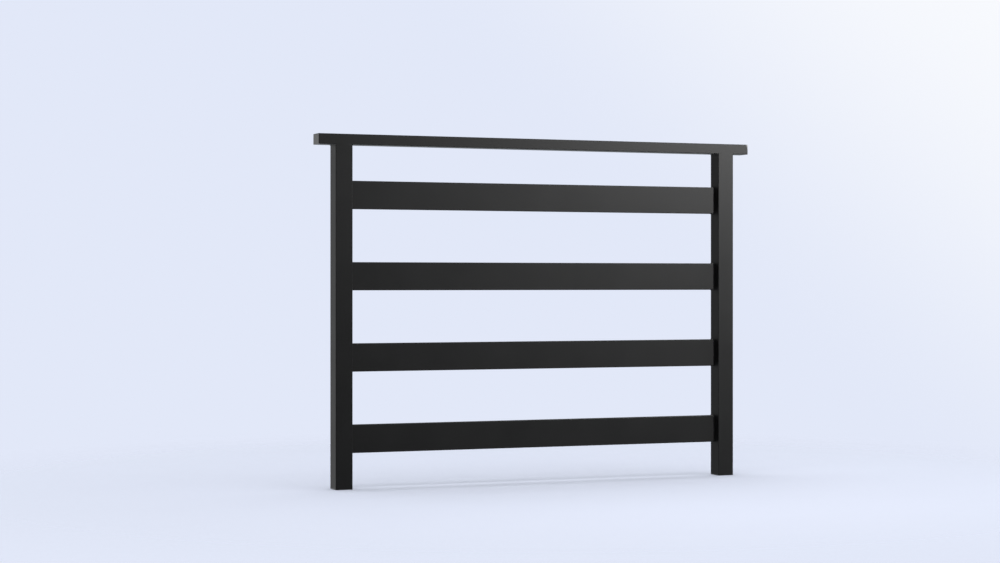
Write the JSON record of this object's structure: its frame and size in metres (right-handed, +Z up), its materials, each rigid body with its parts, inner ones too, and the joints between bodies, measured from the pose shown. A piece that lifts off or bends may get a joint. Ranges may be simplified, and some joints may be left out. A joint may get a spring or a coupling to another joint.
{
  "type": "juliet balcony railing",
  "caption": "Flat wall-mounted railing for a full-height window: two square posts, a flat handrail over them and wide horizontal slats, held off the wall on round spacers.",
  "frame": {"origin": "middle of the flat wall side of the lower left fixing, in the plane of the wall face", "axes": "+X along the railing towards the right post, +Y into the wall, +Z up"},
  "size_m": [1.36, 0.08, 1],
  "materials": {
    "coat": "satin black powder coat on aluminium",
    "end_plug": "black moulded plastic, fine grain",
    "seal": "black rubber, matt"
  },
  "bodies": {
    "root": {"handrail": "coat", "handrail_plug_left": "end_plug", "handrail_plug_right": "end_plug", "post_left": "coat", "post_right": "coat", "foot_plug_left": "end_plug", "foot_plug_right": "end_plug", "slat_1": "coat", "slat_2": "coat", "slat_3": "coat", "slat_4": "coat", "wall_spacer_lower_left": "coat", "wall_spacer_lower_right": "coat", "wall_spacer_upper_left": "coat", "wall_spacer_upper_right": "coat", "sealing_ring_lower_left": "seal", "sealing_ring_lower_right": "seal", "sealing_ring_upper_left": "seal", "sealing_ring_upper_right": "seal"}
  },
  "joints": []
}
